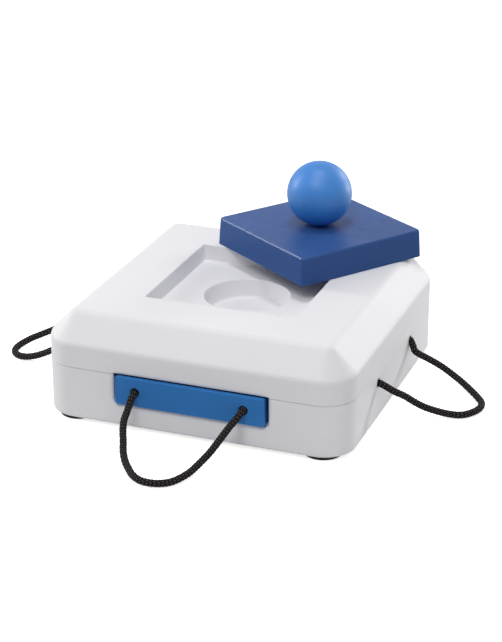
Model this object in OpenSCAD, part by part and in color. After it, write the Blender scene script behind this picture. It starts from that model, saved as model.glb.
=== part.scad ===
// Dog puzzle toy: a square two-part case with a drawer in its front wall, a square recess with a round cup
// in its top, a loose lid with a ball for a handle, and three cord loops.
// Millimetres, +Z up. The origin is on the floor under the middle of the case. The drawer faces -Y.

/* [Case] */
// Width of the case, left to right
case_width = 220; // [190:1:260]
// Depth of the case, front to back
case_depth = 220; // [200:1:260]
// Height of the flat top above the floor
case_height = 76; // [72:0.5:90]
// Height of the seam between the two shells above the floor
seam_height = 40.5; // [38:0.5:46]
// Rise of the bevel between the wall and the flat top
bevel_rise = 17.5; // [8:0.5:22]
// Run of the bevel inwards from the wall
bevel_run = 17; // [8:0.5:22]
// Corner radius of the walls, seen from above
corner_radius = 23; // [16:1:32]
// Corner radius of the flat top, seen from above
top_corner_radius = 3.5; // [2:0.5:10]
// Radius that softens the edge between wall and bevel
shoulder_radius = 6; // [2:0.5:9]
// Radius that softens the edge between bevel and flat top
rim_radius = 3; // [1:0.5:6]
// Radius round the underside
bottom_radius = 2.5; // [1:0.5:6]
// Wall thickness of both shells
wall = 2.6; // [2:0.1:3.5]
// Chamfer on each shell's edge at the seam
seam_chamfer = 0.5; // [0.2:0.1:1]

/* [Recess and cup] */
// Width and depth of the square recess at the top
recess_width = 110; // [90:1:116]
// Depth of the recess below the flat top
recess_depth = 12.2; // [8:0.1:15]
// Draft of the recess walls: how far each leans in at the bottom
recess_draft = 1; // [0:0.1:2]
// Corner radius of the recess
recess_corner = 2; // [1:0.5:6]
// Radius of the round cup at its mouth
cup_radius = 30.4; // [20:0.2:36]
// Radius of the round cup at its floor
cup_floor_radius = 28; // [16:0.2:30]
// Depth of the cup below the recess floor
cup_depth = 13; // [8:0.5:14]

/* [Drawer] */
// Width of the drawer's opening in the front wall
opening_width = 111.5; // [102:0.5:116]
// Height of the opening's lower edge above the floor
opening_bottom = 19; // [17:0.5:22]
// Corner radius of the opening's lower corners
opening_corner = 2.5; // [2:0.5:6]
// Gap between the drawer and each side of its opening
drawer_side_gap = 1.7; // [1:0.1:2.5]
// Gap between the drawer and the upper shell
drawer_top_gap = 0.5; // [0.4:0.1:2.5]
// Gap between the drawer and the runners under it
runner_gap = 0.3; // [0.2:0.05:0.6]
// How far the drawer's front stands proud of the case
drawer_proud = 2; // [1:0.1:4]
// Thickness of the drawer's front
drawer_front = 3.2; // [2.4:0.1:4.5]
// Length of the drawer from its front face to its back
drawer_length = 112; // [100:1:130]
// Wall thickness of the drawer's tray
drawer_wall = 2; // [1.6:0.1:3]
// Chamfer round the edge of the drawer's front
drawer_chamfer = 0.8; // [0.3:0.1:1.2]
// Step in from the drawer's front to its tray, on each side and at the top
tray_step = 1; // [0.5:0.1:2]
// Travel of the drawer before its stop tabs meet the upper shell
drawer_travel = 80; // [50:1:90]
// Height of the stop tabs above the seam
stop_height = 4.5; // [3:0.5:6]
// Thickness of the stop tabs along the travel
stop_thickness = 4; // [2:0.5:8]
// Width of each runner under the drawer
runner_width = 9; // [6:0.5:14]
// Wall thickness of the drawer's tunnel
tunnel_wall = 2.2; // [1.6:0.1:3]
// Gap between the tunnel's walls and the upper shell's edge
tunnel_gap = 3; // [2:0.5:8]

/* [Cord loops] */
// Diameter of the cord
rope_diameter = 5; // [4:0.1:5.6]
// Diameter of the holes that the cord goes through
rope_hole = 6.2; // [5.8:0.1:8]
// Distance between the two holes of a loop
rope_pitch = 78; // [70:1:84]
// Height of the holes above the floor
rope_height = 30; // [28:0.5:31]
// Diameter of the end knots
knot_diameter = 13; // [9:0.5:14]
// How deep the wall flattens an end knot
knot_flat = 1.1; // [0.5:0.1:2]

/* [Lid] */
// Gap between the closed lid and each side of the recess
lid_clearance = 1.2; // [0.6:0.1:4]
// Height of the lid
lid_height = 20.5; // [14:0.5:26]
// Draft of the lid's sides: how far each leans in at the top
lid_draft = 0.8; // [0:0.1:3]
// Corner radius of the lid, seen from above
lid_corner = 3; // [1.2:0.1:6]
// Chamfer round the lid's top edge
lid_chamfer = 0.8; // [0.3:0.1:1]
// Thickness of the lid's sides and top
lid_wall = 2.5; // [1.8:0.1:4]
// Place of the laid-down lid's middle, left to right
lid_x = 28.5; // [0:0.5:40]
// Place of the laid-down lid's middle, front to back
lid_y = 74; // [60:0.5:90]
// Turn of the laid-down lid about the vertical
lid_turn = 55; // [0:0.2:90]
// Diameter of the ball
ball_diameter = 47.5; // [36:0.5:60]
// Depth of the flat that the ball sits on
ball_flat = 0.4; // [0.2:0.1:1.5]

/* [Feet and screws] */
// Radius of a rubber foot
foot_radius = 13.5; // [10:0.5:15]
// Height of a rubber foot
foot_height = 2.5; // [2:0.5:5]
// Chamfer round a foot's lower edge
foot_chamfer = 1; // [0.5:0.1:1.8]
// Distance from the case's left and right sides to the middle of a foot
foot_side_inset = 21; // [16:0.5:30]
// Distance from the case's front and back to the middle of a foot
foot_front_inset = 16; // [16:0.5:30]
// Radius of a case screw's shank
screw_radius = 1.75; // [1.25:0.05:2.2]
// Radius of a case screw's head
screw_head_radius = 3.5; // [2.8:0.1:4]
// Height of a case screw's head
screw_head_height = 2.4; // [1.5:0.1:3]
// Height of the shoulder that a case screw's head pulls against, above the floor
screw_seat = 26; // [16:0.5:30]
// How far a case screw bites into the upper shell's boss
screw_bite = 14; // [8:0.5:18]
// Wall thickness of the screw bosses round the head's counterbore
boss_wall = 2.6; // [1.8:0.1:4]
// Radius of the knob screw's shank
knob_screw_radius = 2; // [1.5:0.1:3]
// Radius of the knob screw's head
knob_head_radius = 4; // [3.4:0.1:6]
// Height of the knob screw's head
knob_head_height = 2.6; // [2:0.1:3.5]
// How far the knob screw bites into the ball
knob_bite = 16; // [10:0.5:20]
// Radius of the washer under the knob screw's head
washer_radius = 6; // [6:0.1:9]
// Thickness of that washer
washer_thickness = 1; // [0.6:0.1:1.6]
// Height of the boss under the lid's top, where the washer seats
lid_boss_height = 5; // [3:0.5:8]

/* [Hidden] */
$fn = 64;

white_plastic = "#e3e6ea";
drawer_blue = "#2c66ab";
lid_blue = "#27427f";
ball_blue = "#3b7cc4";
black_cord = "#17181a";
black_rubber = "#232325";
bright_steel = "#b9bcc0";

// How far a cut runs past a face, and how far a piece sinks into the solid that it belongs to
past = 1;
sunk = 0.8;
// Clearance round a screw's shank in a pilot hole, round it in a through hole, and round its head
pilot_clearance = 0.05;
shank_clearance = 0.4;
head_clearance = 0.8;
// Shares of a screw's head: width of its crown, height of its rim, length and depth of its cross slot
crown_share = 0.75;
rim_share = 0.6;
cross_share = 0.55;
cross_depth_share = 0.5;
// Steps in a quarter turn of a plan corner, and in an edge's rounding
corner_steps = 12;
edge_steps = 4;

// Case
half_width = case_width / 2;
half_depth = case_depth / 2;
bottom = foot_height;
shoulder_height = case_height - bevel_rise;
bevel_lean = atan2(bevel_run, bevel_rise);
shoulder_tangent = shoulder_radius * tan(bevel_lean / 2);
rim_lean = 90 - bevel_lean;
rim_tangent = rim_radius * tan(rim_lean / 2);
inner_front = half_depth - wall;
foot_x = half_width - foot_side_inset;
foot_y = half_depth - foot_front_inset;

// Screws and bosses
counterbore_radius = screw_head_radius + head_clearance;
boss_radius = counterbore_radius + boss_wall;
screw_hole_radius = screw_radius + shank_clearance;

// Recess and cup
recess_floor = case_height - recess_depth;
cup_floor = recess_floor - cup_depth;

// Drawer, with its front face and tray measured from the middle of the case
drawer_half = opening_width / 2 - drawer_side_gap;
drawer_bottom = opening_bottom + runner_gap;
drawer_top = seam_height - drawer_top_gap;
drawer_face = half_depth + drawer_proud;
drawer_back = drawer_face - drawer_length;
tray_half = drawer_half - tray_step;
tray_top = drawer_top - tray_step;
tray_front = drawer_face - drawer_front;
stop_face = inner_front - drawer_travel - runner_gap;
tunnel_half = opening_width / 2;
tunnel_top = seam_height - tunnel_gap;

// Lid, measured from the middle of its underside
lid_half = recess_width / 2 - lid_clearance;
lid_boss_bottom = lid_height - lid_wall - lid_boss_height;
lid_boss_radius = washer_radius + lid_wall / 2;
ball_radius = ball_diameter / 2;
ball_middle = lid_height + ball_radius - ball_flat;
knob_hole_radius = knob_screw_radius + shank_clearance;

// Routes of the cord loops outside their walls: [along the wall, out from the wall, height above the floor].
// Each loop leaves one hole at the wall's outer face and comes back to the other.
drawer_route = [
  [-39.5, 4.5, 27], [-40, 9.5, 21.5], [-40, 16, 16.5], [-38, 22.5, 12.5], [-35, 29, 8.5],
  [-31.5, 37, 5], [-26.5, 45.5, 3], [-19.5, 55, 2.6], [-13.5, 62, 2.6], [-6.5, 66.5, 2.6], [0.5, 67.5, 2.6],
  [7, 66, 2.6], [12.5, 62, 2.6], [16.5, 56, 3], [20.5, 48.5, 4.5], [24, 39, 7.5], [27.5, 30, 11.5],
  [30.5, 21, 16.5], [34, 11.5, 22.5], [37.5, 4.5, 27.5]
];
right_route = [
  [-38, 4, 28], [-35, 10, 23.5], [-31, 17, 19], [-27.5, 23, 14], [-23.5, 29, 9.5],
  [-18.5, 36, 5.5], [-15, 44, 3], [-13, 52, 2.6], [-7, 58, 2.6], [1.5, 61.5, 2.6], [10.5, 61, 2.6],
  [19, 56, 2.6], [28, 48.5, 3.2], [34.5, 40, 5.6], [37.8, 31.5, 9.2], [38.6, 24.5, 12.9], [38, 18, 16.3],
  [37.2, 12.5, 19], [36.4, 7.8, 21.2], [36.2, 4.6, 23.3], [37.4, 2.8, 26.4]
];
left_route = [
  [-38.5, 4.5, 28], [-36, 11, 24.5], [-30, 21, 20.5], [-22.5, 31, 17], [-14.5, 40, 14],
  [-5.5, 48.5, 11], [-1, 56, 8], [2.5, 62, 5.5], [8.5, 66.5, 3.5], [15.5, 68, 2.6], [23, 66, 2.6],
  [28.5, 60.5, 2.6], [30, 53.5, 3], [30, 45.5, 5], [31, 37, 9], [33, 29.5, 13.5], [35.5, 20, 19],
  [37.5, 11.5, 24], [38.5, 4.5, 28]
];
rope_sides = 10;

// Shared shapes

function corner_arc(x, y, r, start) =
  [for (i = [0:corner_steps]) let (a = start + 90 * i / corner_steps) [x + r * cos(a), y + r * sin(a)]];

function rounded_outline(hx, hy, r) = concat(
  corner_arc(hx - r, hy - r, r, 0),
  corner_arc(r - hx, hy - r, r, 90),
  corner_arc(r - hx, r - hy, r, 180),
  corner_arc(hx - r, r - hy, r, 270)
);

// The triangles of a skin through rings of equal numbers of points, listed from the lowest ring up
function skin_faces(rings, sides) = concat(
  [[for (i = [0:sides - 1]) i]],
  [[for (i = [0:sides - 1]) sides * rings - 1 - i]],
  [for (k = [0:rings - 2], i = [0:sides - 1])
    let (j = (i + 1) % sides) [sides * k + i, sides * (k + 1) + i, sides * (k + 1) + j]],
  [for (k = [0:rings - 2], i = [0:sides - 1])
    let (j = (i + 1) % sides) [sides * k + i, sides * (k + 1) + j, sides * k + j]]
);

// A solid through rounded rectangles, each [height, half width, half depth, corner radius]
module loft(rings) {
  points = [for (ring = rings) for (p = rounded_outline(ring[1], ring[2], ring[3])) [p.x, p.y, ring[0]]];
  polyhedron(points, skin_faces(len(rings), 4 * (corner_steps + 1)));
}

// A ring of the case's outside that lies inset from its walls, with a corner radius of its own
function case_ring(height, inset, r) = [height, half_width - inset, half_depth - inset, r];

function unit(v) = v / norm(v);

function tangent(route, i) = unit(route[min(i + 1, len(route) - 1)] - route[max(i - 1, 0)]);

function rope_ring(middle, along) = let (side = unit(cross(along, [0, 0, 1])), up = cross(side, along))
  [for (k = [0:rope_sides - 1]) let (a = 360 * k / rope_sides)
    middle + rope_diameter / 2 * (cos(a) * side + sin(a) * up)];

// The cord along a route, in the frame of its wall, from the wall's inner face and back to it
module rope(route, wall_thickness) {
  outside = [for (p = route) [p[0], -p[1], p[2]]];
  first_hole = [for (y = [wall_thickness, 0]) [-rope_pitch / 2, y, rope_height]];
  last_hole = [for (y = [0, wall_thickness]) [rope_pitch / 2, y, rope_height]];
  path = concat(first_hole, outside, last_hole);
  rings = len(path);
  points = [for (i = [0:rings - 1]) each rope_ring(path[i], tangent(path, i))];
  color(black_cord) polyhedron(points, skin_faces(rings, rope_sides));
}

// A frame on an outer face of the object: X along the wall, -Y outwards, seen from that side
module on_wall(turn, distance) {
  rotate([0, 0, turn]) translate([0, -distance, 0]) children();
}

// An end knot behind a wall, pulled flat against the wall's inner face
module knot(side, wall_thickness) {
  color(black_cord) translate([side * rope_pitch / 2, wall_thickness, rope_height]) rotate([-90, 0, 0])
    intersection() {
      translate([0, 0, knot_diameter / 2 - knot_flat]) sphere(d = knot_diameter);
      cylinder(d = 2 * knot_diameter, h = 2 * knot_diameter);
    }
}

module rope_holes(thickness) {
  for (side = [-1, 1])
    translate([side * rope_pitch / 2, -past, rope_height]) rotate([-90, 0, 0])
      cylinder(d = rope_hole, h = thickness + 2 * past);
}

// Case

module case_corners() {
  for (x = [-foot_x, foot_x], y = [-foot_y, foot_y]) translate([x, y, 0]) children();
}

module lower_outside() {
  loft(concat(
    [for (i = [0:edge_steps]) let (a = 90 * i / edge_steps, inset = bottom_radius * (1 - sin(a)))
      case_ring(bottom + bottom_radius * (1 - cos(a)), inset, corner_radius - inset)],
    [case_ring(seam_height - seam_chamfer, 0, corner_radius),
     case_ring(seam_height, seam_chamfer, corner_radius - seam_chamfer)]
  ));
}

module lower_inside() {
  loft([
    case_ring(bottom + wall, wall + bottom_radius, corner_radius - wall - bottom_radius),
    case_ring(bottom + wall + bottom_radius, wall, corner_radius - wall),
    case_ring(seam_height + past, wall, corner_radius - wall)
  ]);
}

// The tunnel that carries the drawer: a wall and a runner on each side, and a wall behind
module drawer_tunnel() {
  length = inner_front + sunk - drawer_back + runner_gap + tunnel_wall;
  start = -inner_front - sunk;
  base = bottom + wall - sunk;
  for (side = [0, 1]) mirror([side, 0, 0]) {
    translate([tunnel_half, start, base]) cube([tunnel_wall, length, tunnel_top - base]);
    translate([tunnel_half - runner_width, start, base])
      cube([runner_width + sunk, length, opening_bottom - base]);
  }
  translate([-tunnel_half - sunk, start + length - tunnel_wall, base])
    cube([opening_width + 2 * sunk, tunnel_wall, tunnel_top - base]);
}

// The opening in the front wall, open upwards to the seam
module drawer_opening() {
  low = opening_bottom + opening_corner;
  x = opening_width / 2 - opening_corner;
  outline = concat(
    [[opening_width / 2, seam_height + past], [-opening_width / 2, seam_height + past]],
    [for (p = corner_arc(-x, low, opening_corner, 180)) p],
    [for (p = corner_arc(x, low, opening_corner, 270)) p]
  );
  translate([0, -inner_front, 0]) rotate([90, 0, 0]) linear_extrude(wall + past) polygon(outline);
}

module lower_shell() {
  color(white_plastic) difference() {
    union() {
      difference() {
        lower_outside();
        lower_inside();
      }
      case_corners() translate([0, 0, bottom + sunk])
        cylinder(r = boss_radius, h = seam_height - bottom - sunk);
      drawer_tunnel();
    }
    drawer_opening();
    for (turn = [-90, 90]) on_wall(turn, half_width) rope_holes(wall);
    case_corners() translate([0, 0, bottom - past])
      cylinder(r = counterbore_radius, h = screw_seat - bottom + past);
    case_corners() translate([0, 0, bottom]) cylinder(r = screw_hole_radius, h = seam_height - bottom + past);
  }
}

function bevel_corner(inset) = corner_radius - (corner_radius - top_corner_radius) * min(1, inset / bevel_run);

module upper_outside() {
  shoulder_rings = [for (i = [0:edge_steps]) let (a = bevel_lean * i / edge_steps,
      inset = shoulder_radius * (1 - cos(a)))
    case_ring(shoulder_height - shoulder_tangent + shoulder_radius * sin(a), inset, bevel_corner(inset))];
  rim_rings = [for (i = [0:edge_steps]) let (a = bevel_lean + rim_lean * i / edge_steps,
      inset = bevel_run + rim_tangent - rim_radius * cos(a))
    case_ring(case_height - rim_radius + rim_radius * sin(a), inset, bevel_corner(inset))];
  loft(concat(
    [case_ring(seam_height, seam_chamfer, corner_radius - seam_chamfer),
     case_ring(seam_height + seam_chamfer, 0, corner_radius)],
    shoulder_rings, rim_rings
  ));
}

module upper_inside() {
  top_inset = bevel_run + wall * tan(rim_lean / 2);
  loft([
    case_ring(seam_height - past, wall, corner_radius - wall),
    case_ring(shoulder_height - wall * tan(bevel_lean / 2), wall, corner_radius - wall),
    case_ring(case_height - wall, top_inset, top_corner_radius)
  ]);
}

// The square recess and the round cup in its floor, grown by a wall for their outsides
module recess_shape(grow, top) {
  half = recess_width / 2 + grow;
  r = recess_corner + grow;
  loft([
    [recess_floor - grow, half - recess_draft, half - recess_draft, r],
    [case_height, half, half, r],
    [top, half, half, r]
  ]);
}

module cup_shape(grow, top) {
  translate([0, 0, cup_floor - grow])
    cylinder(r1 = cup_floor_radius + grow, r2 = cup_radius + grow, h = cup_depth);
  translate([0, 0, recess_floor - grow]) cylinder(r = cup_radius + grow, h = top - recess_floor + grow);
}

module upper_shell() {
  color(white_plastic) difference() {
    union() {
      difference() {
        upper_outside();
        upper_inside();
      }
      intersection() {
        upper_outside();
        union() {
          recess_shape(wall, case_height + past);
          case_corners() translate([0, 0, seam_height]) cylinder(r = boss_radius, h = case_height);
        }
      }
      cup_shape(wall, recess_floor);
    }
    recess_shape(0, case_height + past);
    cup_shape(0, recess_floor + past);
    case_corners() translate([0, 0, seam_height - past])
      cylinder(r = screw_radius + pilot_clearance, h = screw_bite + 2 * past);
  }
}

// Drawer

module drawer_face_plate() {
  height = drawer_top - drawer_bottom;
  r = opening_corner - runner_gap;
  translate([0, -tray_front, drawer_bottom + height / 2]) rotate([90, 0, 0]) loft([
    [0, drawer_half, height / 2, r],
    [drawer_front - drawer_chamfer, drawer_half, height / 2, r],
    [drawer_front, drawer_half - drawer_chamfer, height / 2 - drawer_chamfer, r - drawer_chamfer]
  ]);
}

module drawer_tray() {
  length = tray_front - drawer_back;
  floor_top = drawer_bottom + drawer_wall;
  difference() {
    translate([-tray_half, -tray_front - sunk, drawer_bottom])
      cube([2 * tray_half, length + sunk, tray_top - drawer_bottom]);
    translate([drawer_wall - tray_half, -tray_front, floor_top])
      cube([2 * (tray_half - drawer_wall), length - drawer_wall, tray_top]);
  }
  for (side = [0, 1]) mirror([side, 0, 0])
    translate([tray_half - drawer_wall, -stop_face, tray_top - sunk])
      cube([drawer_wall, stop_thickness, seam_height + stop_height - tray_top + sunk]);
}

module drawer() {
  color(drawer_blue) difference() {
    union() {
      drawer_face_plate();
      drawer_tray();
    }
    on_wall(0, drawer_face) rope_holes(drawer_front);
  }
}

// Lid and ball

module on_laid_lid() {
  translate([lid_x, lid_y, case_height]) rotate([0, 0, lid_turn]) children();
}

module lid_outside() {
  top_half = lid_half - lid_draft;
  loft([
    [0, lid_half, lid_half, lid_corner],
    [lid_height - lid_chamfer, top_half, top_half, lid_corner],
    [lid_height, top_half - lid_chamfer, top_half - lid_chamfer, lid_corner - lid_chamfer]
  ]);
}

module lid_inside() {
  low = lid_half - lid_wall;
  r = max(lid_corner - lid_wall, lid_corner / 2);
  loft([
    [-past, low, low, r],
    [lid_height - lid_wall, low - lid_draft, low - lid_draft, r]
  ]);
}

module lid() {
  color(lid_blue) on_laid_lid() difference() {
    union() {
      difference() {
        lid_outside();
        lid_inside();
      }
      translate([0, 0, lid_boss_bottom]) cylinder(r = lid_boss_radius, h = lid_boss_height + sunk);
    }
    translate([0, 0, lid_boss_bottom - past]) cylinder(r = knob_hole_radius, h = lid_height);
  }
}

module ball_knob() {
  color(ball_blue) on_laid_lid() difference() {
    translate([0, 0, ball_middle]) sphere(r = ball_radius);
    cylinder(r = ball_diameter, h = lid_height);
    translate([0, 0, lid_height - past])
      cylinder(r = knob_screw_radius + pilot_clearance, h = knob_bite + 2 * past);
  }
}

module knob_washer() {
  color(bright_steel) on_laid_lid() translate([0, 0, lid_boss_bottom - washer_thickness]) difference() {
    cylinder(r = washer_radius, h = washer_thickness);
    translate([0, 0, -past]) cylinder(r = knob_hole_radius, h = washer_thickness + 2 * past);
  }
}

// A pan-head screw that stands on its head's underside at height 0, with its shank upwards
module screw(shank_r, shank_h, head_r, head_h) {
  cross_r = cross_share * head_r;
  cross_h = cross_depth_share * head_h;
  difference() {
    rotate_extrude() polygon([
      [0, -head_h], [crown_share * head_r, -head_h], [head_r, -rim_share * head_h], [head_r, 0],
      [shank_r, 0], [shank_r, shank_h - shank_r], [0, shank_h]
    ]);
    for (turn = [0, 90]) rotate([0, 0, turn])
      translate([-cross_r, -cross_r / 4, -head_h - past]) cube([2 * cross_r, cross_r / 2, cross_h + past]);
  }
}

module knob_screw() {
  shank = knob_bite + lid_height - lid_boss_bottom + washer_thickness;
  color(bright_steel) on_laid_lid() translate([0, 0, lid_boss_bottom - washer_thickness])
    screw(knob_screw_radius, shank, knob_head_radius, knob_head_height);
}

// Feet and case screws

module foot(side_x, side_y) {
  color(black_rubber) translate([side_x * foot_x, side_y * foot_y, 0]) rotate_extrude() polygon([
    [0, 0], [foot_radius - foot_chamfer, 0], [foot_radius, foot_chamfer], [foot_radius, foot_height],
    [0, foot_height]
  ]);
}

module case_screws() {
  shank = seam_height - screw_seat + screw_bite;
  color(bright_steel) case_corners() translate([0, 0, screw_seat])
    screw(screw_radius, shank, screw_head_radius, screw_head_height);
}

lower_shell();
upper_shell();
drawer();
lid();
ball_knob();
knob_screw();
knob_washer();
foot(-1, -1);  // foot_front_left
foot(1, -1);  // foot_front_right
foot(-1, 1);  // foot_rear_left
foot(1, 1);  // foot_rear_right
case_screws();
on_wall(0, drawer_face) rope(drawer_route, drawer_front);  // drawer_rope
on_wall(-90, half_width) rope(left_route, wall);  // left_rope
on_wall(90, half_width) rope(right_route, wall);  // right_rope
on_wall(0, drawer_face) knot(-1, drawer_front);  // drawer_rope_knot_left
on_wall(0, drawer_face) knot(1, drawer_front);  // drawer_rope_knot_right
on_wall(-90, half_width) knot(1, wall);  // left_rope_knot_front
on_wall(-90, half_width) knot(-1, wall);  // left_rope_knot_rear
on_wall(90, half_width) knot(-1, wall);  // right_rope_knot_front
on_wall(90, half_width) knot(1, wall);  // right_rope_knot_rear
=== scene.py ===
"""Looks of the dog puzzle toy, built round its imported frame. Metres, +Z up, the drawer faces -Y."""

import math

import bmesh
import bpy
import numpy as np
from mathutils import Matrix, Vector


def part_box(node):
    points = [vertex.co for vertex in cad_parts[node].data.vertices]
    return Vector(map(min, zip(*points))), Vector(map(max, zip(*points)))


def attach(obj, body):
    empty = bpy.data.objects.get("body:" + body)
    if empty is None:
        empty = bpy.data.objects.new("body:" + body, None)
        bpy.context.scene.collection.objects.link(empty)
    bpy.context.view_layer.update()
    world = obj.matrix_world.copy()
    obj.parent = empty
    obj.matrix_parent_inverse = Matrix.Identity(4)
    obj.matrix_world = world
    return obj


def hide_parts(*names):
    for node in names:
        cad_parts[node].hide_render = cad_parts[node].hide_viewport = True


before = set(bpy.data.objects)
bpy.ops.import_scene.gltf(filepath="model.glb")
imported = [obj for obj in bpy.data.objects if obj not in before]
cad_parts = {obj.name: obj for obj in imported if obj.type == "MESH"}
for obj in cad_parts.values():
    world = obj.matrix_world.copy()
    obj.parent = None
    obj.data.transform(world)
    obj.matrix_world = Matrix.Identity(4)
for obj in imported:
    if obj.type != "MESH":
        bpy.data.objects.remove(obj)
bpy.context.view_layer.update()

MM = 0.001
TAU = 2 * math.pi
QUARTER = math.pi / 2

# Case, from its solids in the frame
lower_low, lower_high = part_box("lower_shell")
HALF = lower_high.x
BOTTOM = lower_low.z
SEAM = lower_high.z
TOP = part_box("upper_shell")[1].z
WALL = 2.6 * MM
CORNER = 23 * MM
TOP_CORNER = 3.5 * MM
BEVEL_RISE = 17.5 * MM
FRONT_BEVEL_RISE = 19 * MM
BEVEL_RUN = 17 * MM
SHOULDER_RADIUS = 6.5 * MM
RIM_RADIUS = 8 * MM
BOTTOM_RADIUS = 2.5 * MM
SEAM_EDGE = 0.2 * MM
SEAM_STEP = 0.5 * MM
SEAM_STEP_SHARE = 0.3
SEAM_DROP = 1.2 * MM
SEAM_GAP = 0.3 * MM
SEAM_GROOVE = 1.4 * MM

# Recess and cup
RECESS_HALF = 55 * MM
RECESS_FLOOR = TOP - 12.2 * MM
RECESS_DRAFT = 1 * MM
RECESS_CORNER = 2 * MM
RECESS_EDGE = 0.8 * MM
RECESS_FILLET = 1 * MM
CUP_RADIUS = 30.4 * MM
CUP_FLOOR_RADIUS = 28 * MM
CUP_FLOOR = RECESS_FLOOR - 13 * MM
CUP_EDGE = 0.9 * MM
CUP_FILLET = 2.2 * MM

# Drawer and its opening
drawer_low, drawer_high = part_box("drawer")
DRAWER_FACE = drawer_low.y
DRAWER_BACK = drawer_high.y
DRAWER_HALF = drawer_high.x
DRAWER_BOTTOM = drawer_low.z
DRAWER_TOP = SEAM - 0.5 * MM
DRAWER_FRONT = 3.2 * MM
DRAWER_CORNER = 2.2 * MM
DRAWER_TOP_CORNER = 1.6 * MM
DRAWER_EDGE = 1.3 * MM
DRAWER_REAR_EDGE = 0.3 * MM
DRAWER_LEAN = 0.7 * MM
DRAWER_WALL = 2 * MM
TRAY_STEP = 1 * MM
TRAY_TOP = DRAWER_TOP - TRAY_STEP
TRAY_FILLET = 3 * MM
TRAY_CORNER = 2 * MM
TRAY_EDGE = 1 * MM
TRAY_LIP = 0.5 * MM
STOP_TOP = drawer_high.z
STOP_FRONT = -27.1 * MM
STOP_LENGTH = 4 * MM
OPENING_HALF = 55.75 * MM
OPENING_BOTTOM = 19 * MM
OPENING_CORNER = 2.5 * MM
OPENING_FLARE = 3.2 * MM
OPENING_FLARE_DEPTH = 1.9 * MM
OPENING_OVER_SEAM = 12 * MM
OPENING_NICK = 0.05 * MM
TUNNEL_WALL = 2.2 * MM
TUNNEL_PLAY = 0.3 * MM
TUNNEL_TOP = SEAM - 3 * MM
RUNNER_WIDTH = 9 * MM

# Cord loops
CORD = 5 * MM
CORD_HOLE = 6.2 * MM
CORD_PITCH = 78 * MM
CORD_HEIGHT = 30 * MM
HOLE_EDGE = 0.5 * MM
BRAID_STRANDS = 8
BRAID_PITCH = 2.4 * MM
BRAID_DEPTH = 0.6 * MM
BRAID_SWELL = 0.04 * MM
BRAID_FLOAT = 1.15
CORD_SIDES = 48
CORD_STEP = 0.36 * MM
CORD_FIRST_SIDE = (0.3, 0.2, 0.9)
KNOT_CORD = 0.88 * CORD
KNOT_LOOP = 1.35 * MM
KNOT_DEPTH = 6 * MM
KNOT_SWING = 2.6 * MM
KNOT_START = math.radians(100)
KNOT_TURN = 0.93 * TAU
KNOT_STEPS = 28

# Lid and ball
LID_TURN = math.radians(55)
lid_low, lid_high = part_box("lid")
LID_MIDDLE = Vector(((lid_low.x + lid_high.x) / 2, (lid_low.y + lid_high.y) / 2, lid_low.z))
LID_HEIGHT = lid_high.z - lid_low.z
LID_HALF = 53.8 * MM
LID_DRAFT = 0.8 * MM
LID_CORNER = 3 * MM
LID_EDGE = 1.4 * MM
LID_EDGE_RUN = 1.05 * MM
# The softened chamfer of its upper edge, as shares of the run and the rise
LID_CHAMFER = [(0, 0), (0.03, 0.15), (0.12, 0.30), (0.70, 0.88), (0.85, 0.97), (1, 1)]
LID_WALL = 2.5 * MM
LID_FOOT_EDGE = 0.4 * MM
LID_FILLET = 1.5 * MM
LID_INNER_CORNER = 1.5 * MM
LID_BOSS_RADIUS = 7.25 * MM
LID_BOSS_BOTTOM = 13 * MM
KNOB_HOLE = 2.4 * MM
BALL_RADIUS = 23.75 * MM
BALL_FLAT = 0.4 * MM
BALL_PILOT = 2.05 * MM
BALL_PILOT_DEPTH = 18 * MM
BALL_PILOT_EDGE = 0.5 * MM
BALL_STEPS = 61

# Feet, bosses and screws
foot_low, foot_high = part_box("foot_front_right")
FOOT_RADIUS = (foot_high.x - foot_low.x) / 2
FOOT_X = (foot_high.x + foot_low.x) / 2
FOOT_Y = -(foot_high.y + foot_low.y) / 2
FOOT_HEIGHT = foot_high.z
FOOT_EDGE = 1 * MM
FOOT_TOP_EDGE = 0.3 * MM
BOSS_RADIUS = 6.9 * MM
COUNTERBORE = 4.3 * MM
SCREW_SEAT = 26 * MM
SCREW_HOLE = 2.15 * MM
SCREW_PILOT = 1.8 * MM
PILOT_TOP = SEAM + 15 * MM

# How far a cut runs past a face, how far a joined piece sinks in, a hair between faces, and the same place
PAST = 1 * MM
SUNK = 0.8 * MM
HAIR = 0.01 * MM
SAME_PLACE = 0.001 * MM

# Points round and along the curved surfaces
ROUND_SIDES = 64
HOLE_SIDES = 40
PILOT_SIDES = 24
BALL_SIDES = 96
FLOOR_SIDES = 96
SHOULDER_STEPS = 10
RIM_STEPS = 8
PATH_STEPS = 24

# Depths of the surfaces' fine textures, and how far a plastic's roughness drifts
PLASTIC_GRAIN = 0.03 * MM
CORD_FIBRE = 0.08 * MM
RUBBER_GRAIN = 0.05 * MM
STEEL_GRAIN = 0.02 * MM
GLOSS_DRIFT = 0.04

# Photograph's camera
CAMERA_LENS = 103.95
CAMERA_SENSOR = 36
CAMERA_BACK = Vector((0.32219, -0.86265, 0.38993))
CAMERA_AIM = Vector((-0.004823, 0.020452, 0.035))
CAMERA_DISTANCE = 1.3484

# Stage and lamps
FLOOR_RADIUS = 4.0
FLOOR_DROP = 0.05 * MM
FLOOR_SHADE = 0.9
AMBIENT = 0.16
BACKGROUND = 1.0
FLOOR_GLOW = 0.7
FLOOR_GLOW_REFLECTED = 0.2
LIGHT_AIM = Vector((0, 0, 0.06))
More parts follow.
